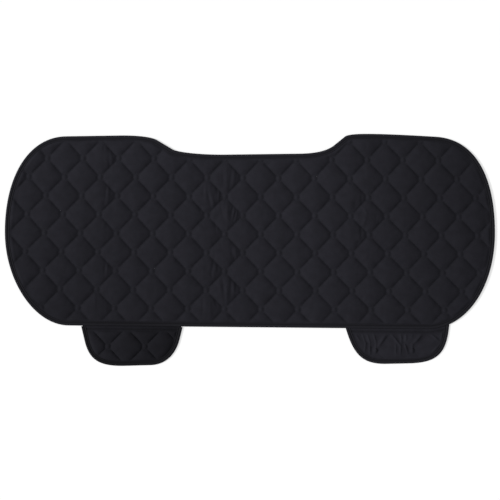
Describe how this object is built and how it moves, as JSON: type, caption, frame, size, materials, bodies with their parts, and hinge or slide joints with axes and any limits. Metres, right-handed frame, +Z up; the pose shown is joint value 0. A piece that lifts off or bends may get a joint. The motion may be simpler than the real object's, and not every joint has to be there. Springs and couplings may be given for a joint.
{
  "type": "car seat cover",
  "caption": "Flat diamond-quilted rear-bench seat cover with a tape-bound edge, a notched back edge and bound front flaps.",
  "frame": {"origin": "middle of the cover's overall outline, on the surface that it lies on", "axes": "+X along the bench to the right, +Y towards the seat back, +Z up out of the quilted face"},
  "size_m": [1.34, 0.6344, 0.0114],
  "materials": {
    "face_cloth": "matte brushed microfibre, near black",
    "binding_tape": "smooth woven edge tape, black",
    "backing_cloth": "plain matte nonwoven cloth, black"
  },
  "bodies": {
    "root": {"pad_panel": "face_cloth", "pad_backing": "backing_cloth", "pad_binding": "binding_tape", "left_flap_panel": "face_cloth", "left_flap_backing": "backing_cloth", "left_flap_binding": "binding_tape", "right_flap_panel": "face_cloth", "right_flap_backing": "backing_cloth", "right_flap_binding": "binding_tape"}
  },
  "joints": []
}
